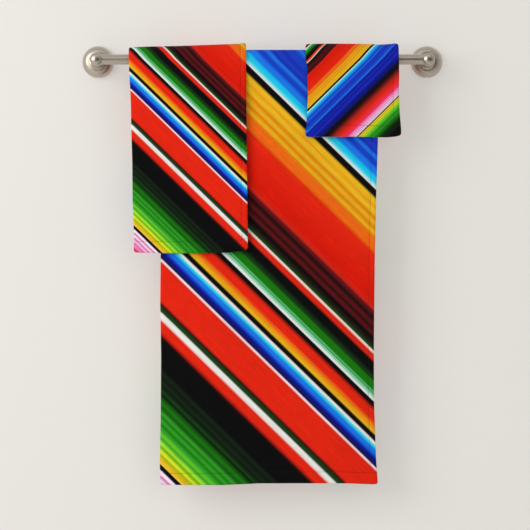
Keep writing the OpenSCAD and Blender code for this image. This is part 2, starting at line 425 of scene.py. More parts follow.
def printed_cloth(name, lengthwise, crosswise, start):
    """Short cut pile with the stripe print on it; the numbers are repeats per metre."""
    material, tree, shader = new_material(name)
    place = cloth_place(tree)
    stripes = place_group(
        tree, STRIPE_PRINT, Cloth_Place=place, Lengthwise=lengthwise, Crosswise=crosswise,
        Start=start, Edge_Wander=0.0006 * abs(lengthwise),
    )
    pile = place_group(tree, CLOTH_PILE, Cloth_Place=place, Loops_Per_Metre=1100.0, Lean=0.16)
    streak = span(tree, stripes.outputs["Yarn"], 0.25, 0.75, 0.80, 1.10)
    shade = math_node(tree, "MULTIPLY", pile.outputs["Shade"], streak)
    tint = tree.nodes.new("ShaderNodeCombineColor")
    for socket in tint.inputs:
        tree.links.new(shade, socket)
    colour = mix_colour(tree, 1.0, stripes.outputs["Color"], tint.outputs[0], "MULTIPLY")
    tree.links.new(colour, shader.inputs["Base Color"])
    shader.inputs["Roughness"].default_value = 0.92
    shader.inputs["Specular IOR Level"].default_value = 0.05
    shader.inputs["Sheen Weight"].default_value = 0.03
    shader.inputs["Sheen Roughness"].default_value = 0.5
    add_bump(tree, shader, pile.outputs["Height"], 0.5, 0.5 * MM)
    return material


def terry_cloth(name):
    """Unprinted looped reverse, seen inside the fold and at open edges."""
    material, tree, shader = new_material(name)
    pile = place_group(tree, CLOTH_PILE, Cloth_Place=cloth_place(tree), Loops_Per_Metre=620.0, Lean=0.25)
    tone = span(tree, pile.outputs["Shade"], 0.8, 1.1)
    colour = mix_colour(tree, tone, linear(205, 200, 190), linear(244, 242, 236))
    tree.links.new(colour, shader.inputs["Base Color"])
    shader.inputs["Roughness"].default_value = 0.95
    shader.inputs["Specular IOR Level"].default_value = 0.1
    add_bump(tree, shader, pile.outputs["Height"], 0.8, 1.0 * MM)
    return material


def sewing_thread(name):
    """Spun thread: a slightly glossy dark yarn with a fine twist."""
    material, tree, shader = new_material(name)
    coords = tree.nodes.new("ShaderNodeTexCoord")
    twist = noise(tree, coords.outputs["Object"], 2600.0, 2.0, 0.6)
    colour = mix_colour(tree, twist, linear(16, 12, 13), linear(52, 34, 32))
    tree.links.new(colour, shader.inputs["Base Color"])
    shader.inputs["Roughness"].default_value = 0.62
    shader.inputs["Specular IOR Level"].default_value = 0.2
    add_bump(tree, shader, twist, 0.4, 0.1 * MM)
    return material


def satin_ribbon(name):
    """Woven satin label: pale, slightly glossy, with fine ribs."""
    material, tree, shader = new_material(name)
    ribs = tree.nodes.new("ShaderNodeTexWave")
    ribs.wave_type = "BANDS"
    ribs.bands_direction = "Y"
    ribs.inputs["Scale"].default_value = 320.0
    ribs.inputs["Distortion"].default_value = 0.6
    tree.links.new(cloth_place(tree), ribs.inputs["Vector"])
    colour = mix_colour(tree, ribs.outputs["Fac"], linear(226, 224, 218), linear(246, 245, 241))
    tree.links.new(colour, shader.inputs["Base Color"])
    rough = span(tree, ribs.outputs["Fac"], 0.0, 1.0, 0.36, 0.5)
    tree.links.new(rough, shader.inputs["Roughness"])
    add_bump(tree, shader, ribs.outputs["Fac"], 0.35, 0.1 * MM)
    return material


def metal(name, dark, light, smooth, line_depth, stretch, bump):
    """Metal with brushed lines: dark and light are the colours in and on the lines."""
    material, tree, shader = new_material(name)
    coords = tree.nodes.new("ShaderNodeTexCoord")
    grain = place_group(
        tree, BRUSHED_GRAIN, Place=coords.outputs["Object"], Stretch=stretch,
        Line_Depth=line_depth, Smooth=smooth,
    )
    tone = span(tree, grain.outputs["Height"], 0.3, 0.7)
    tree.links.new(mix_colour(tree, tone, linear(*dark), linear(*light)), shader.inputs["Base Color"])
    tree.links.new(grain.outputs["Roughness"], shader.inputs["Roughness"])
    shader.inputs["Metallic"].default_value = 1.0
    add_bump(tree, shader, grain.outputs["Height"], bump, 0.05 * MM)
    return material


def one_sided_paint(name, colour, patchy, glow):
    """Matt backdrop, clear from behind so other sides can be looked at, with a little light of its own."""
    material, tree, shader = new_material(name)
    coords = tree.nodes.new("ShaderNodeTexCoord")
    tone = noise(tree, coords.outputs["Object"], 3.0, 4.0, 0.5)
    low = [c * (1 - patchy) for c in linear(*colour)[:3]] + [1.0]
    tree.links.new(mix_colour(tree, tone, low, linear(*colour)), shader.inputs["Base Color"])
    shader.inputs["Roughness"].default_value = 0.9
    shader.inputs["Specular IOR Level"].default_value = 0.15
    shader.inputs["Emission Color"].default_value = linear(*colour)
    shader.inputs["Emission Strength"].default_value = glow
    add_bump(tree, shader, noise(tree, coords.outputs["Object"], 400.0), 0.08, 0.3 * MM)
    output = next(node for node in tree.nodes if node.type == "OUTPUT_MATERIAL")
    facing = tree.nodes.new("ShaderNodeNewGeometry")
    clear = tree.nodes.new("ShaderNodeBsdfTransparent")
    choice = tree.nodes.new("ShaderNodeMixShader")
    tree.links.new(facing.outputs["Backfacing"], choice.inputs["Fac"])
    tree.links.new(shader.outputs[0], choice.inputs[1])
    tree.links.new(clear.outputs[0], choice.inputs[2])
    tree.links.new(choice.outputs[0], output.inputs["Surface"])
    return material


def dim_paint(name):
    """A dull grey that only shows as a reflection in the metal."""
    material, _, shader = new_material(name)
    shader.inputs["Base Color"].default_value = (0.02, 0.02, 0.02, 1.0)
    shader.inputs["Roughness"].default_value = 0.9
    shader.inputs["Emission Color"].default_value = linear(150, 142, 130)
    shader.inputs["Emission Strength"].default_value = 0.06
    return material


PRINTS = {
    "bath": printed_cloth("Bath print", -0.7778, -0.7575, 0.3120),
    "hand": printed_cloth("Hand print", -1.2058, -1.1748, 0.3844),
    "wash": printed_cloth("Wash print", 2.6000, -2.5642, 0.7838),
}
TERRY = terry_cloth("Terry reverse")
THREAD = sewing_thread("Dark sewing thread")
RIBBON = satin_ribbon("Blank satin ribbon")
NICKEL_BAR = metal("Satin nickel bar", (168, 158, 144), (206, 197, 184), 0.22, 0.14, (0.03, 1, 1), 0.05)
NICKEL = metal("Satin nickel", (172, 161, 147), (212, 202, 189), 0.30, 0.12, (1, 0.05, 1), 0.04)
NICKEL_POST = metal("Satin nickel post", (168, 158, 144), (206, 197, 184), 0.20, 0.10, (1, 0.05, 1), 0.04)
ZINC = metal("Zinc plated steel", (176, 180, 186), (214, 216, 218), 0.3, 0.2, (1, 1, 1), 0.08)
STEEL = metal("Plain stainless steel", (150, 150, 152), (196, 196, 198), 0.25, 0.2, (1, 1, 0.1), 0.08)


# ---------------------------------------------------------------- towels

def smooth_step(value, start, end):
    t = np.clip((value - start) / (end - start), 0.0, 1.0)
    return t * t * (3 - 2 * t)


def measure_towel(name, nodes, **shape):
    """Sizes of one towel, from its nodes' boxes; shape adds how it hangs."""
    boxes = [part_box(node) for node in nodes]
    front_low, front_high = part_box(f"{name}_front_hem")
    back_low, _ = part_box(f"{name}_back_hem")
    side_low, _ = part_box(f"{name}_front_side_hem")
    towel = dict(shape)
    towel["name"] = name
    towel["left"] = min(low.x for low, _ in boxes)
    towel["right"] = max(high.x for _, high in boxes)
    towel["thick"] = front_high.y - front_low.y
    towel["radius"] = RAIL_Y - (front_low.y + front_high.y) / 2
    towel["front"] = -front_low.z
    towel["back"] = -back_low.z
    towel["end_hem"] = front_high.z - front_low.z
    towel["side_hem"] = towel["right"] - side_low.x
    towel["half"] = (towel["thick"] - LAYER_GAP) / 4
    towel["offset"] = LAYER_GAP / 2 + towel["half"]
    towel["fold_x"] = towel["left"] + towel["offset"] + towel["half"]
    towel["layer"] = towel["right"] - towel["fold_x"]
    towel["width"] = 2 * towel["layer"] + math.pi * towel["offset"]
    towel["bend"] = math.pi * towel["radius"]
    towel["length"] = towel["front"] + towel["bend"] + towel["back"]
    return towel


def across_towel(towel, u):
    """Where a place across the flat cloth lies: x, height off the towel's middle, and its normal."""
    layer, offset = towel["layer"], towel["offset"]
    angle = np.clip((u - layer) / offset, 0.0, math.pi)
    arc_end = layer + math.pi * offset
    x = towel["fold_x"] + np.maximum(layer - u, 0) + np.maximum(u - arc_end, 0) - offset * np.sin(angle)
    return x, offset * np.cos(angle), -np.sin(angle), np.cos(angle)


def along_towel(towel, v):
    """Where a place along the flat cloth lies: y, z and its outward normal, front end to back end."""
    angle = np.clip((v - towel["front"]) / towel["radius"], 0.0, math.pi)
    drop = np.minimum(v - towel["front"], 0) - np.maximum(v - towel["front"] - towel["bend"], 0)
    normal_y, normal_z = -np.cos(angle), np.sin(angle)
    y = RAIL_Y + towel["radius"] * normal_y
    z = drop + towel["radius"] * normal_z
    return y, z, normal_y, normal_z, angle


def read_wave(towel, x, v):
    """How far the hung cloth stands off its flat place, between the coarse sheet's points."""
    xs, vs, wave = towel["wave"]
    i = np.clip((x - xs[0]) / (xs[1] - xs[0]), 0, len(xs) - 1.001)
    j = np.clip((v - vs[0]) / (vs[1] - vs[0]), 0, len(vs) - 1.001)
    i0, j0 = i.astype(int), j.astype(int)
    fi, fj = i - i0, j - j0
    fi, fj = fi * fi * (3 - 2 * fi), fj * fj * (3 - 2 * fj)
    low = wave[i0, j0] * (1 - fj) + wave[i0, j0 + 1] * fj
    high = wave[i0 + 1, j0] * (1 - fj) + wave[i0 + 1, j0 + 1] * fj
    return low * (1 - fi) + high * fi


def round_corner(a, b, radius):
    """Pulls a square corner into a round one; a and b are distances from its two edges."""
    p, q = np.clip(radius - a, 0, None), np.clip(radius - b, 0, None)
    size = np.hypot(p, q)
    keep = np.where(size > 0, np.maximum(p, q) / np.where(size > 0, size, 1), 1)
    return p * (1 - keep), q * (1 - keep)


def outline_move(towel, x, v):
    """How far the outline moves each place sideways and upwards, and how far it moves the left edge."""
    _, z, _, _, angle = along_towel(towel, v)
    share = (x - towel["left"]) / (towel["right"] - towel["left"])
    end = np.minimum(v, towel["length"] - v)
    # The back drop hangs a little narrower, so that it stays hidden from the front.
    inset = BACK_INSET * smooth_step(angle, 0.35 * math.pi, 0.65 * math.pi)
    depth = np.clip(-z, 0, 1)
    left_edge = np.interp(depth, *towel["left_edge"]) + inset
    right_edge = np.interp(depth, *towel["right_edge"]) - inset
    in_right, up_right = round_corner(towel["right"] - x, end, FREE_CORNER)
    in_left, up_left = round_corner(x - towel["left"], end, FOLD_CORNER)
    sideways = left_edge * (1 - share) + right_edge * share - in_right + in_left
    rise = np.interp(share, *towel["hem_rise"]) * (1 - smooth_step(end, *HEM_RISE_FADE))
    upwards = rise * np.where(v < towel["length"] / 2, 1.0, 0.5) + up_right + up_left
    return sideways, upwards, left_edge


def bend_lift(towel, x, angle):
    """How far the towel arches above the rail."""
    share = (x - towel["left"]) / (towel["right"] - towel["left"])
    return np.interp(share, *towel["lift"]) * np.sin(angle) ** 2


def flat_place(towel, u, v):
    """Where a place of the sheet lies on the print, in metres: across, and up from the rail's level."""
    x = across_towel(towel, u)[0]
    sideways, upwards, left_edge = outline_move(towel, x, v)
    under = smooth_step(u, 0.499 * towel["width"], 0.501 * towel["width"])
    across = towel["right"] - u + sideways * (1 - under) + (2 * left_edge - sideways) * under
    angle = np.clip((v - towel["front"]) / towel["radius"], 0.0, math.pi / 2)
    height = towel["radius"] * np.sin(angle) + bend_lift(towel, x, angle)
    return across, v - towel["front"] + upwards + BEND_FOLLOW * (height - towel["radius"] * angle)


def towel_point(towel, u, v, height):
    """A point of the hung towel, height off the cloth's own middle, on the printed side if positive."""
    x, off, tilt, lean = across_towel(towel, u)
    y, z, normal_y, normal_z, angle = along_towel(towel, v)
    sideways, upwards, _ = outline_move(towel, x, v)
    out = off + height * lean + read_wave(towel, x, v)
    px = x + sideways + height * tilt
    py = y + normal_y * out
    pz = z + normal_z * out + bend_lift(towel, x, angle) + upwards
    return np.stack([px, py, pz], axis=-1)


def stations(knots, steps, half, first, last):
    """Places along one direction, finer near a rounded edge or a seam."""
    near = {
        "edge": [0, 0.04 * half, 0.16 * half, 0.36 * half, 0.64 * half, half, 1.9 * half],
        "seam": [0, 0.3 * GROOVE_WIDTH, 0.65 * GROOVE_WIDTH, GROOVE_WIDTH],
        "cut": [0],
    }
    places = [knots[0] + d for d in near[first]]
    ends = [knots[-1] - d for d in near[last]]
    bounds = [places[-1]] + list(knots[1:-1]) + [ends[-1]]
    for low, high, step in zip(bounds, bounds[1:], steps):
        count = max(1, math.ceil((high - low) / step - 1e-6))
        places.extend(low + (high - low) * k / count for k in range(1, count + 1))
    places.extend(reversed(ends[:-1]))
    return np.array(places)


def border_profile(distance, kind, half):
    """Thickness kept near a border, and how far the groove of a seam goes down."""
    if kind == "edge":
        t = np.clip(1 - distance / half, 0, 1)
        return np.sqrt(1 - t * t), np.zeros_like(distance)
    if kind == "seam":
        return np.ones_like(distance), 1 - smooth_step(distance, 0, GROOVE_WIDTH)
    return np.ones_like(distance), np.zeros_like(distance)


def sheet_faces(rows, columns, top, bottom, walls):
    """Faces of a closed thin sheet, with walls on the borders that are not rounded off."""
    faces, marks = [], []

    def add(loop, mark):
        kept = [v for k, v in enumerate(loop) if v != loop[k - 1]]
        if len(kept) > 2:
            faces.append(kept)
            marks.append(mark)

    for i in range(rows - 1):
        for j in range(columns - 1):
            add([top[i, j], top[i, j + 1], top[i + 1, j + 1], top[i + 1, j]], 0)
            add([bottom[i, j], bottom[i + 1, j], bottom[i + 1, j + 1], bottom[i, j + 1]], 1)
    last_row, last_column = rows - 1, columns - 1
    for j in range(columns - 1):
        if walls[0]:
            add([top[0, j + 1], top[0, j], bottom[0, j], bottom[0, j + 1]], 0)
        if walls[1]:
            add([top[last_row, j], top[last_row, j + 1], bottom[last_row, j + 1], bottom[last_row, j]], 0)
    for i in range(rows - 1):
        if walls[2]:
            add([top[i, 0], top[i + 1, 0], bottom[i + 1, 0], bottom[i, 0]], 0)
        if walls[3]:
            add([top[i + 1, last_column], top[i, last_column], bottom[i, last_column],
                 bottom[i + 1, last_column]], 0)
    return faces, marks


def sheet_part(towel, u_knots, u_steps, v_knots, v_steps, borders, pillow=0.0, half=None, base=None):
    """One closed part of a towel: points, faces, material marks and flat cloth places."""
    half = towel["half"] if half is None else half
    us = stations(u_knots, u_steps, half, borders[0], borders[1])
    vs = stations(v_knots, v_steps, half, borders[2], borders[3])
    u, v = np.meshgrid(us, vs, indexing="ij")
    keep = np.ones_like(u)
    groove = np.zeros_like(u)
    distances = (u - us[0], us[-1] - u, v - vs[0], vs[-1] - v)
    for distance, kind in zip(distances, borders):
        part_keep, part_groove = border_profile(distance, kind, half)
        keep = keep * part_keep
        groove = np.maximum(groove, part_groove)
    inner = smooth_step(u, 0.48 * towel["width"], 0.52 * towel["width"])
    clear_bend = smooth_step(np.abs(v - towel["front"] - towel["bend"] / 2), *BEND_CLEAR)
    swell = pillow * (1 - inner) + min(pillow, INNER_PILLOW) * inner * clear_bend
    inset = np.minimum(np.minimum(distances[0], distances[1]), np.minimum(distances[2], distances[3]))
    plump = swell * smooth_step(inset, 0, PILLOW_RISE)
    raised = 0.0 if base is None else base(u, v)
    top_height = raised + (half + plump - GROOVE_DEPTH * groove) * keep
    bottom_height = raised - half * keep
    top_points = towel_point(towel, u, v, top_height)
    bottom_points = towel_point(towel, u, v, bottom_height)
    rows, columns = u.shape
    top = np.arange(rows * columns).reshape(rows, columns)
    bottom = top + rows * columns
    if borders[0] == "edge":
        bottom[0] = top[0]
    if borders[1] == "edge":
        bottom[-1] = top[-1]
    if borders[2] == "edge":
        bottom[:, 0] = top[:, 0]
    if borders[3] == "edge":
        bottom[:, -1] = top[:, -1]
    faces, marks = sheet_faces(rows, columns, top, bottom, [kind != "edge" for kind in borders])
    points = np.concatenate([top_points.reshape(-1, 3), bottom_points.reshape(-1, 3)])
    flat = np.stack(flat_place(towel, u, v), axis=-1).reshape(-1, 2)
    return points, faces, marks, np.concatenate([flat, flat])


def make_object(name, mesh, materials):
    for material in materials:
        mesh.materials.append(material)
    obj = bpy.data.objects.new(name, mesh)
    bpy.context.scene.collection.objects.link(obj)
    return obj


def sheet_object(name, parts, materials):
    """One object from closed sheet parts, with the flat cloth places as its UV map in metres."""
    points, faces, marks, flat = [], [], [], []
    start = 0
    for part_points, part_faces, part_marks, part_flat in parts:
        points.append(part_points)
        faces.extend([[v + start for v in face] for face in part_faces])
        marks.extend(part_marks)
        flat.append(part_flat)
        start += len(part_points)
    points, flat = np.concatenate(points), np.concatenate(flat)
    used = np.unique(np.concatenate([np.array(face) for face in faces]))
    renumber = np.full(len(points), -1)
    renumber[used] = np.arange(len(used))
    faces = [[int(renumber[v]) for v in face] for face in faces]
    points, flat = points[used], flat[used]
    mesh = bpy.data.meshes.new(name)
    mesh.from_pydata(points.tolist(), [], faces)
    mesh.update()
    mesh.polygons.foreach_set("material_index", [min(mark, len(materials) - 1) for mark in marks])
    corners = np.zeros(len(mesh.loops), dtype=np.int32)
    mesh.loops.foreach_get("vertex_index", corners)
    layer = mesh.uv_layers.new(name="Cloth")
    layer.data.foreach_set("uv", flat[corners].ravel())
    mesh.shade_smooth()
    mesh.set_sharp_from_angle(angle=math.radians(40))
    return make_object(name, mesh, materials)


# ---------------------------------------------------------------- hanging by simulation

def hang_limits(towel, v):
    """Lowest and highest stand-off allowed at each place along the towel."""
    _, z, _, _, angle = along_towel(towel, v)
    front = angle < math.pi / 2
    lowest = np.where(front, np.interp(-z, *towel["front_low"]), np.interp(-z, *towel["back_low"]))
    highest = np.where(front, np.interp(-z, *towel["front_high"]), np.interp(-z, *towel["back_high"]))
    return lowest, highest, smooth_step(-z, *HANG_FADE)


def coarse_places(towel):
    columns = round((towel["right"] - towel["left"]) / HANG_STEP) + 1
    rows = round(towel["length"] / HANG_STEP) + 1
    return np.linspace(towel["left"], towel["right"], columns), np.linspace(0, towel["length"], rows)


def coarse_sheet(towel):
    """A one-layer sheet over the rail, cut a little over width so that it falls in soft folds."""
    xs, vs = coarse_places(towel)
    x, v = np.meshgrid(xs, vs, indexing="ij")
    y, z, normal_y, normal_z, _ = along_towel(towel, v)
    seed = sum(height * np.sin(x * across + v * along + offset) for height, across, along, offset in RIPPLES)
    seed = seed * smooth_step(-z, 0.0, RIPPLE_FADE)
    start = np.stack([x, y + seed * normal_y, z], axis=-1).reshape(-1, 3)
    rows, columns = x.shape
    index = np.arange(rows * columns).reshape(rows, columns)
    faces = [
        [int(index[i, j]), int(index[i + 1, j]), int(index[i + 1, j + 1]), int(index[i, j + 1])]
        for i in range(rows - 1)
        for j in range(columns - 1)
    ]
    mesh = bpy.data.meshes.new("Hanging " + towel["name"])
    mesh.from_pydata(start.tolist(), [], faces)
    mesh.update()
    sheet = make_object(mesh.name, mesh, [])
    held = sheet.vertex_groups.new(name="On the rail")
    on_rail = (z > -HANG_HOLD).ravel()
    held.add([int(k) for k in np.flatnonzero(on_rail)], 1.0, "REPLACE")
    sheet.shape_key_add(name="Hung")
    cut = sheet.shape_key_add(name="Cut")
    middle = (towel["left"] + towel["right"]) / 2
    wide = start.copy()
    wide[:, 0] = middle + (wide[:, 0] - middle) * (1 + EASE)
    cut.data.foreach_set("co", wide.ravel())
    cloth = sheet.modifiers.new("Cloth", "CLOTH")
    cloth.settings.quality = 6
    cloth.settings.mass = 0.25
    cloth.settings.tension_stiffness = 20
    cloth.settings.compression_stiffness = 20
    cloth.settings.shear_stiffness = 8
    cloth.settings.bending_stiffness = 4
    cloth.settings.air_damping = 2.0
    cloth.settings.vertex_group_mass = held.name
    cloth.settings.rest_shape_key = cut
    cloth.point_cache.frame_start = 1
    cloth.point_cache.frame_end = HANG_FRAMES
    return sheet, start, (normal_y.ravel(), normal_z.ravel())


def simulate_hang(towels):
    """Lets every coarse sheet hang and returns how far each of its points moved outwards."""
    scene = bpy.context.scene
    sheets = [coarse_sheet(towel) for towel in towels]
    for step in range(1, HANG_FRAMES + 1):
        scene.frame_set(step)
    graph = bpy.context.evaluated_depsgraph_get()
    moved = []
    for towel, (sheet, start, (normal_y, normal_z)) in zip(towels, sheets):
        result = sheet.evaluated_get(graph).to_mesh()
        places = np.zeros(len(result.vertices) * 3)
        result.vertices.foreach_get("co", places)
        change = places.reshape(-1, 3) - start
        xs, vs = coarse_places(towel)
        outward = change[:, 1] * normal_y + change[:, 2] * normal_z
        moved.append(outward.reshape(len(xs), len(vs)))
    for sheet, _, _ in sheets:
        bpy.data.objects.remove(sheet)
    scene.frame_set(1)
    return moved


def soften(field, passes):
    for _ in range(passes):
        padded = np.pad(field, 1, mode="edge")
        field = (
            padded[1:-1, 1:-1] * 4 + padded[:-2, 1:-1] + padded[2:, 1:-1]
            + padded[1:-1, :-2] + padded[1:-1, 2:]
        ) / 8
    return field


def set_waves(towels):
    """Turns each hung sheet's movement into a stand-off that keeps the layers apart."""
    moved = simulate_hang(towels)
    for towel, field in zip(towels, moved):
        xs, vs = coarse_places(towel)
        field = soften(field, SOFTEN_PASSES)
        lowest, highest, fade = hang_limits(towel, vs)
        middle = towel["front"] + towel["bend"] / 2
        wave = np.zeros_like(field)
        for side in (vs < middle, vs >= middle):
            part = field[:, side]
            share = (part - part.min()) / max(part.max() - part.min(), 1e-9)
            wave[:, side] = (lowest[side] + (highest[side] - lowest[side]) * share) * fade[side]
        towel["wave"] = (xs, vs, wave)


# ---------------------------------------------------------------- the three towels

def flat_line(*pairs):
    """Depths and offsets in millimetres, as arrays in metres for interpolation."""
    return np.array([p[0] for p in pairs]) * MM, np.array([p[1] for p in pairs]) * MM


def share_line(*pairs):
    """Shares across the towel and heights in millimetres, as arrays for interpolation."""
    return np.array([p[0] for p in pairs]), np.array([p[1] for p in pairs]) * MM


def node_names(name, parts):
    return [f"{name}_{part}" for part in parts]


HEM_PARTS = ["back_side_hem", "front_side_hem", "front_hem", "back_hem"]

bath = measure_towel(
    "bath", node_names("bath", ["cloth"] + HEM_PARTS),
    side_pillow=0.5 * MM,
    left_edge=flat_line(
        (0, 0.8), (200, 1.8), (353, 1.0), (423, 0.2), (520, 1.8), (635, 1), (706, -0.6), (744, 1),
    ),
    right_edge=flat_line(
        (0, 1), (137, 1.8), (246, -1.6), (351, -3.8), (500, -5.2), (600, -5), (700, -1.4), (744, 2),
    ),
    hem_rise=share_line((0, -2.2), (0.28, -2.4), (0.45, 0.8), (0.85, 0.8), (0.95, -0.8), (1, -1.8)),
    lift=share_line((0, 0), (0.15, 0.5), (0.34, 1.6), (0.66, 1.6), (0.8, 1.4), (1, 1)),
    front_low=flat_line((0, -4), (330, -4), (440, -6), (760, -6)),
    front_high=flat_line((0, 0), (345, 0), (440, 5), (760, 5)),
    back_low=flat_line((0, -3), (760, -4)),
    back_high=flat_line((0, 0), (330, 0), (440, 4), (760, 4)),
)
hand = measure_towel(
    "hand", node_names("hand", ["back_drop", "front_drop"] + HEM_PARTS),
    side_pillow=0.9 * MM,
    left_edge=flat_line(
        (0, -3.4), (38, -1.4), (73, 0.6), (126, 1.6), (178, 3.2), (248, 3.8), (318, 6.6), (339, 6.2),
    ),
    right_edge=flat_line((0, -0.8), (170, 0.8), (340, 2.6)),
    hem_rise=share_line((0, 0.6), (0.3, -0.4), (0.7, -0.2), (0.85, 1), (0.93, 2.6), (1, 5.4)),
    lift=share_line(
        (0, 0.3), (0.05, 0.5), (0.13, 1.1), (0.2, 1.5), (0.44, 2.5), (0.71, 4.6), (0.93, 6.2), (1, 6.8),
    ),
    front_low=flat_line((0, 0), (400, 0)),
    front_high=flat_line((0, 3.5), (400, 3.5)),
    back_low=flat_line((0, 0), (400, 0)),
    back_high=flat_line((0, 3), (400, 3)),
)
wash = measure_towel(
    "wash", node_names("wash", ["back_drop", "front_drop"] + HEM_PARTS),
    side_pillow=0.9 * MM,
    left_edge=flat_line((0, -1.2), (12, 1.8), (60, 2.9), (137, -0.8)),
    right_edge=flat_line((0, -2.4), (25, -1.8), (60, -2.6), (94, -1.2), (120, 1.2), (137, 2)),
    hem_rise=share_line((0, -0.3), (0.5, 0.5), (0.85, -0.8), (1, 1.6)),
    lift=share_line((0, 6.2), (0.2, 7), (0.6, 6.6), (0.82, 5.2), (0.95, 6.8), (1, 6.2)),
    front_low=flat_line((0, 0), (400, 0)),
    front_high=flat_line((0, 3), (400, 3)),
    back_low=flat_line((0, 0), (400, 0)),
    back_high=flat_line((0, 2.5), (400, 2.5)),
)
TOWELS = [bath, hand, wash]
set_waves(TOWELS)


def cloth_part(towel, v_from, v_to, borders, neck):
    """The main cloth between the hems, from one place along the towel to another."""
    side, layer = towel["side_hem"], towel["layer"]
    arc_end = towel["width"] - layer
    u_knots = [side, layer, arc_end, towel["width"] - side]
    u_steps = [CLOTH_STEP, FOLD_STEP, CLOTH_STEP]
    v_knots, v_steps = length_knots(towel, v_from, v_to, neck)
    return sheet_part(towel, u_knots, u_steps, v_knots, v_steps, ("seam", "seam") + borders)


def length_knots(towel, v_from, v_to, neck):
    """Places where the step along the towel changes: finer at the rail and at the top of a front drop."""
    front, bend = towel["front"], towel["bend"]
    marks = [(front, CLOTH_STEP), (front + bend, BEND_STEP), (v_to, CLOTH_STEP)]
    if neck:
        marks = [(front - NECK_LENGTH, CLOTH_STEP), (front, NECK_STEP)] + marks[1:]
    knots, steps = [v_from], []
    for place, step in marks:
        place = min(place, v_to)
        if place > knots[-1] + 1e-9:
            knots.append(place)
            steps.append(step)
    return knots, steps


def side_hem_parts(towel, v_from, v_to, borders, neck):
    """The sewn right-hand edges of both layers."""
    v_knots, v_steps = length_knots(towel, v_from, v_to, neck)
    side, width = towel["side_hem"], towel["width"]
    front = sheet_part(
        towel, [0, side], [HEM_STEP], v_knots, v_steps, ("edge", "seam") + borders, towel["side_pillow"]
    )
    back = sheet_part(
        towel, [width - side, width], [HEM_STEP], v_knots, v_steps, ("seam", "edge") + borders,
        towel["side_pillow"],
    )
    return [front, back]


def end_hem_part(towel, at_front):
    """A sewn hem across the whole width of the cloth, round the fold."""
    layer, width, hem = towel["layer"], towel["width"], towel["end_hem"]
    u_knots = [0, layer, width - layer, width]
    u_steps = [CLOTH_STEP, FOLD_STEP, CLOTH_STEP]
    if at_front:
        v_knots, ends = [0, hem], ("edge", "seam")
    else:
        v_knots, ends = [towel["length"] - hem, towel["length"]], ("seam", "edge")
    return sheet_part(towel, u_knots, u_steps, v_knots, [HEM_STEP], ("edge", "edge") + ends, END_PILLOW)


def seam_path(towel, us, vs, height):
    return towel_point(towel, np.asarray(us, float), np.asarray(vs, float), height)


def label_part(towel):
    """A blank care label on the wall side of the back drop, sewn along its top edge."""
    low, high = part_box(f"{towel['name']}_label")
    top = towel["front"] + towel["bend"]
    v_from, v_to = top - high.z, top - low.z
    u_from, u_to = towel["right"] - high.x, towel["right"] - low.x
    rest = towel["half"] + LABEL_GAP

    def base(u, v):
        return rest + LABEL_CURL * smooth_step(v, v_from + 0.3 * (v_to - v_from), v_to + 0.02)

    part = sheet_part(
        towel, [u_from, u_to], [HEM_STEP], [v_from, v_to], [HEM_STEP], ("edge",) * 4, 0.0, LABEL_HALF, base
    )
    line = np.linspace(u_from + LABEL_MARGIN, u_to - LABEL_MARGIN, LABEL_POINTS)
    height = rest + LABEL_HALF + 0.07 * MM
    return part, seam_path(towel, line, np.full(LABEL_POINTS, v_from + LABEL_SEAM), height)


def seam_paths(towel, v_from, v_to, with_front_end, with_back_end):
    """Lines of sewing on the printed faces between two places along the towel."""
    side, end, width = towel["side_hem"], towel["end_hem"], towel["width"]
    height = towel["half"] - GROOVE_DEPTH + 0.6 * THREAD_R
    count = int((v_to - v_from) / SIDE_SEAM_STEP)
    vs = np.linspace(v_from, v_to, count)
    paths = [seam_path(towel, np.full(count, u), vs, height) for u in (side, width - side)]
    count = int(width / END_SEAM_STEP)
    us = np.linspace(SEAM_MARGIN, width - SEAM_MARGIN, count)
    if with_front_end:
        paths.append(seam_path(towel, us, np.full(count, end), height))
    if with_back_end:
        paths.append(seam_path(towel, us, np.full(count, towel["length"] - end), height))
    return paths


# ---------------------------------------------------------------- sewing, by geometry nodes

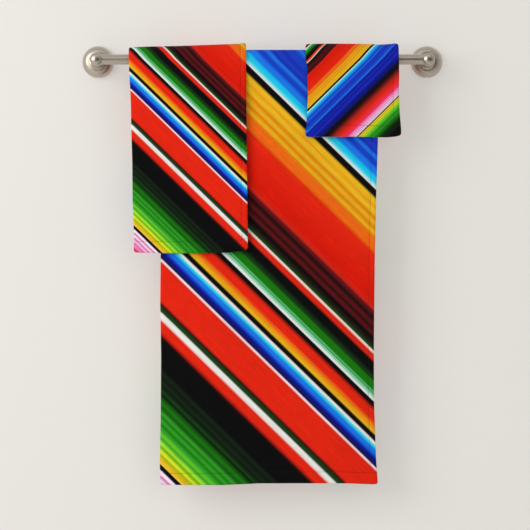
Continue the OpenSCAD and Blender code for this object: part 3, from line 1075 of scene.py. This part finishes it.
def stitch_tree():
    """Geometry nodes: short thread capsules at an even pitch along every line of the mesh."""
    tree = bpy.data.node_groups.new("Row of stitches", "GeometryNodeTree")
    tree.interface.new_socket("Geometry", in_out="INPUT", socket_type="NodeSocketGeometry")
    sockets = {}
    for label, value in (
        ("Pitch", STITCH_PITCH), ("Stitch Length", STITCH_LENGTH), ("Thread Radius", THREAD_R),
    ):
        sockets[label] = tree.interface.new_socket(label, in_out="INPUT", socket_type="NodeSocketFloat")
        sockets[label].default_value = value
    sockets["Thread"] = tree.interface.new_socket(
        "Thread", in_out="INPUT", socket_type="NodeSocketMaterial"
    )
    tree.interface.new_socket("Geometry", in_out="OUTPUT", socket_type="NodeSocketGeometry")
    nodes, links = tree.nodes, tree.links
    given, out = nodes.new("NodeGroupInput"), nodes.new("NodeGroupOutput")
    curve = nodes.new("GeometryNodeMeshToCurve")
    links.new(given.outputs["Geometry"], curve.inputs["Mesh"])
    spaced = nodes.new("GeometryNodeResampleCurve")
    spaced.mode = "LENGTH"
    links.new(curve.outputs["Curve"], spaced.inputs["Curve"])
    links.new(given.outputs["Pitch"], spaced.inputs["Length"])
    capsule = nodes.new("GeometryNodeMeshUVSphere")
    capsule.inputs["Segments"].default_value = 6
    capsule.inputs["Rings"].default_value = 4
    capsule.inputs["Radius"].default_value = 1.0
    half = nodes.new("ShaderNodeMath")
    half.operation = "MULTIPLY"
    half.inputs[1].default_value = 0.5
    links.new(given.outputs["Stitch Length"], half.inputs[0])
    scale = nodes.new("ShaderNodeCombineXYZ")
    links.new(given.outputs["Thread Radius"], scale.inputs["X"])
    links.new(given.outputs["Thread Radius"], scale.inputs["Y"])
    links.new(half.outputs[0], scale.inputs["Z"])
    shaped = nodes.new("GeometryNodeTransform")
    links.new(capsule.outputs["Mesh"], shaped.inputs["Geometry"])
    links.new(scale.outputs[0], shaped.inputs["Scale"])
    tangent = nodes.new("GeometryNodeInputTangent")
    turn = nodes.new("FunctionNodeAlignRotationToVector")
    turn.axis = "Z"
    links.new(tangent.outputs[0], turn.inputs["Vector"])
    placed = nodes.new("GeometryNodeInstanceOnPoints")
    links.new(spaced.outputs["Curve"], placed.inputs["Points"])
    links.new(shaped.outputs["Geometry"], placed.inputs["Instance"])
    links.new(turn.outputs["Rotation"], placed.inputs["Rotation"])
    real = nodes.new("GeometryNodeRealizeInstances")
    links.new(placed.outputs["Instances"], real.inputs["Geometry"])
    dyed = nodes.new("GeometryNodeSetMaterial")
    links.new(real.outputs["Geometry"], dyed.inputs["Geometry"])
    links.new(given.outputs["Thread"], dyed.inputs["Material"])
    links.new(dyed.outputs["Geometry"], out.inputs["Geometry"])
    return tree, sockets


STITCHES, STITCH_SOCKETS = stitch_tree()


def sew(name, paths):
    """One mesh of stitches along the given lines."""
    points, edges = [], []
    for path in paths:
        start = len(points)
        points.extend(path.tolist())
        edges.extend((start + k, start + k + 1) for k in range(len(path) - 1))
    mesh = bpy.data.meshes.new(name + " lines")
    mesh.from_pydata(points, edges, [])
    obj = make_object(name, mesh, [])
    nodes = obj.modifiers.new("Stitches", "NODES")
    nodes.node_group = STITCHES
    nodes[STITCH_SOCKETS["Pitch"].identifier] = STITCH_PITCH
    nodes[STITCH_SOCKETS["Stitch Length"].identifier] = STITCH_LENGTH
    nodes[STITCH_SOCKETS["Thread Radius"].identifier] = THREAD_R
    nodes[STITCH_SOCKETS["Thread"].identifier] = THREAD
    graph = bpy.context.evaluated_depsgraph_get()
    made = bpy.data.meshes.new_from_object(obj.evaluated_get(graph))
    obj.modifiers.remove(nodes)
    obj.data = made
    made.name = name
    made.shade_smooth()
    return obj


# ---------------------------------------------------------------- towel pieces, most of them on their bodies

def bend_or_ride(pieces, body, front_body):
    """With front_body given, the pieces have their transforms applied to their meshes; otherwise they ride
    on the body.
    """
    for piece in pieces:
        if front_body:
            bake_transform(piece)
        else:
            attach(piece, body)


def node_piece(name, parts, materials, node):
    """A sheet that stands for one node of the part, which is hidden."""
    piece = sheet_object(name, parts, materials)
    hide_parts(node)
    return piece


def sewing_piece(name, paths):
    sewing = sew(name, paths)
    return sewing


def end_pieces(towel, name):
    """Both end hems and the label with its line of sewing."""
    dyed = [PRINTS[towel["name"]], TERRY]
    hems = [
        node_piece(f"{name}_{end}_hem", [end_hem_part(towel, end == "front")], dyed,
                   f"{towel['name']}_{end}_hem")
        for end in ("front", "back")
    ]
    label, label_line = label_part(towel)
    tag = node_piece(f"{name}_label", [label], [RIBBON], f"{towel['name']}_label")
    return hems + [tag, label_line]


def side_pieces(towel, name, necked):
    """The side hems of the front drop and of the back drop."""
    dyed = [PRINTS[towel["name"]], TERRY]
    end, front, length = towel["end_hem"], towel["front"], towel["length"]
    return [
        node_piece(f"{name}_{drop}_side_hem", side_hem_parts(towel, v_from, v_to, borders, neck), dyed,
                   f"{towel['name']}_{drop}_side_hem")
        for drop, v_from, v_to, borders, neck in (
            ("front", end, front, ("seam", "cut"), necked),
            ("back", front, length - end, ("cut", "seam"), False),
        )
    ]


def build_bath():
    end, length = bath["end_hem"], bath["length"]
    cloth = node_piece(
        "bath_towel_cloth", [cloth_part(bath, end, length - end, ("seam", "seam"), False)],
        [PRINTS["bath"], TERRY], "bath_cloth",
    )
    front_side, back_side = side_pieces(bath, "bath_towel", False)
    front_hem, back_hem, tag, label_line = end_pieces(bath, "bath_towel")
    paths = seam_paths(bath, end + SEAM_MARGIN, length - end - SEAM_MARGIN, True, True)
    sewing = sewing_piece("bath_towel_stitches", paths + [label_line])
    extras = [front_side, back_side, front_hem, back_hem, tag, sewing]
    bend_or_ride([cloth] + extras, "bath_towel", None)


def build_small_towel(towel, body, front_body):
    """The hand towel or the washcloth, with its front drop built as pieces of its own."""
    end, front, length = towel["end_hem"], towel["front"], towel["length"]
    front_cloth, back_cloth = [
        node_piece(f"{body}_{drop}_cloth", [cloth_part(towel, v_from, v_to, borders, drop == "front")],
                   [PRINTS[towel["name"]], TERRY], f"{towel['name']}_{drop}_drop")
        for drop, v_from, v_to, borders in (
            ("front", end, front, ("seam", "cut")), ("back", front, length - end, ("cut", "seam")),
        )
    ]
    front_side, back_side = side_pieces(towel, body, True)
    front_hem, back_hem, tag, label_line = end_pieces(towel, body)
    front_sewing = sewing_piece(
        f"{body}_front_stitches", seam_paths(towel, end + SEAM_MARGIN, front, True, False)
    )
    back_paths = seam_paths(towel, front, length - end - SEAM_MARGIN, False, True) + [label_line]
    back_sewing = sewing_piece(f"{body}_back_stitches", back_paths)
    front_extras = [front_side, front_hem, front_sewing]
    back_extras = [back_side, back_hem, tag, back_sewing]
    bend_or_ride([front_cloth] + front_extras, body, front_body)
    bend_or_ride([back_cloth] + back_extras, body, None)


build_bath()
build_small_towel(hand, "hand_towel", "hand_towel_front")
build_small_towel(wash, "washcloth", "washcloth_front")


# ---------------------------------------------------------------- rail hardware

def smooth_copy(node, name, material):
    """The part's own shape with its corners joined, so that turned faces shade smoothly."""
    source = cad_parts[node]
    mesh = source.data.copy()
    mesh.materials.clear()
    work = bmesh.new()
    work.from_mesh(mesh)
    bmesh.ops.remove_doubles(work, verts=work.verts, dist=0.01 * MM)
    work.to_mesh(mesh)
    work.free()
    mesh.polygons.foreach_set("material_index", [0] * len(mesh.polygons))
    mesh.shade_smooth()
    mesh.set_sharp_from_angle(angle=math.radians(28))
    mesh.name = name
    piece = make_object(name, mesh, [material])
    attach(piece, "root")
    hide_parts(node)


def build_rail():
    smooth_copy("rail_tube", "rail_bar", NICKEL_BAR)
    for side in ("left", "right"):
        smooth_copy(f"{side}_post", f"{side}_rail_post", NICKEL_POST)
        smooth_copy(f"{side}_flange", f"{side}_wall_flange", NICKEL)
        for node, material in (
            (f"{side}_wall_plate", ZINC), (f"{side}_stem_screw", STEEL), (f"{side}_set_screw", STEEL),
        ):
            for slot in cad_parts[node].material_slots:
                slot.material = material


build_rail()


# ---------------------------------------------------------------- stage, light and camera

def stage_plane(name, corners, material):
    mesh = bpy.data.meshes.new(name)
    mesh.from_pydata(corners, [], [(0, 1, 2, 3)])
    mesh.update()
    obj = make_object(name, mesh, [material])
    obj.visible_shadow = False
    return obj


def soft_light(name, place, target, size, power, colour):
    data = bpy.data.lights.new(name, "AREA")
    data.shape = "RECTANGLE"
    data.size, data.size_y = size
    data.energy = power
    data.color = colour
    obj = bpy.data.objects.new(name, data)
    bpy.context.scene.collection.objects.link(obj)
    obj.location = place
    aim = obj.location.copy()
    aim.x, aim.y, aim.z = (t - p for t, p in zip(target, place))
    obj.rotation_euler = aim.to_track_quat("-Z", "Y").to_euler()
    return obj


def build_stage():
    wall_y, floor_z = 0.6 * MM, -1.35
    stage_plane(
        "Wall", [(-3, wall_y, floor_z), (3, wall_y, floor_z), (3, wall_y, 2), (-3, wall_y, 2)],
        one_sided_paint("Wall paint", (179, 177, 173), 0.02, 0.74),
    )
    stage_plane(
        "Floor", [(-3, -4.5, floor_z), (3, -4.5, floor_z), (3, wall_y, floor_z), (-3, wall_y, floor_z)],
        one_sided_paint("Floor paint", (222, 220, 216), 0.03, 0.0),
    )
    flag = stage_plane(
        "Dim room behind the camera", [(-2, -6, -2), (5, -6, -2), (5, -6, 2.2), (-2, -6, 2.2)],
        dim_paint("Dim room"),
    )
    flag.visible_camera = False
    flag.visible_diffuse = False
    world = bpy.data.worlds.new("Soft room")
    world.use_nodes = True
    background = next(node for node in world.node_tree.nodes if node.type == "BACKGROUND")
    background.inputs["Color"].default_value = (0.97, 0.98, 1.0, 1.0)
    background.inputs["Strength"].default_value = 0.52
    bpy.context.scene.world = world
    aim = (0.0, -0.05, -0.35)
    soft_light("Window light", (-2.0, -2.1, 0.5), aim, (2.0, 2.0), 48.0, (1.0, 0.99, 0.97))
    room = soft_light("Room light", (1.4, -3.8, -0.2), aim, (2.6, 2.6), 22.0, (1.0, 0.98, 0.95))
    room.visible_glossy = False
    soft_light("Ceiling light", (0.0, -1.8, 2.0), aim, (2.4, 1.0), 4.0, (1.0, 0.98, 0.95))
    soft_light("Back light", (1.2, 2.6, 0.8), aim, (2.4, 2.4), 40.0, (1.0, 0.99, 0.97))
    camera_data = bpy.data.cameras.new("Camera")
    camera_data.lens = CAMERA_LENS
    camera_data.sensor_width = 36.0
    camera_data.clip_end = 50.0
    camera = bpy.data.objects.new("Camera", camera_data)
    bpy.context.scene.collection.objects.link(camera)
    camera.location = CAMERA_PLACE
    camera.rotation_euler = (math.radians(90), 0.0, 0.0)
    bpy.context.scene.camera = camera
    bpy.context.scene.view_settings.view_transform = "Standard"


build_stage()
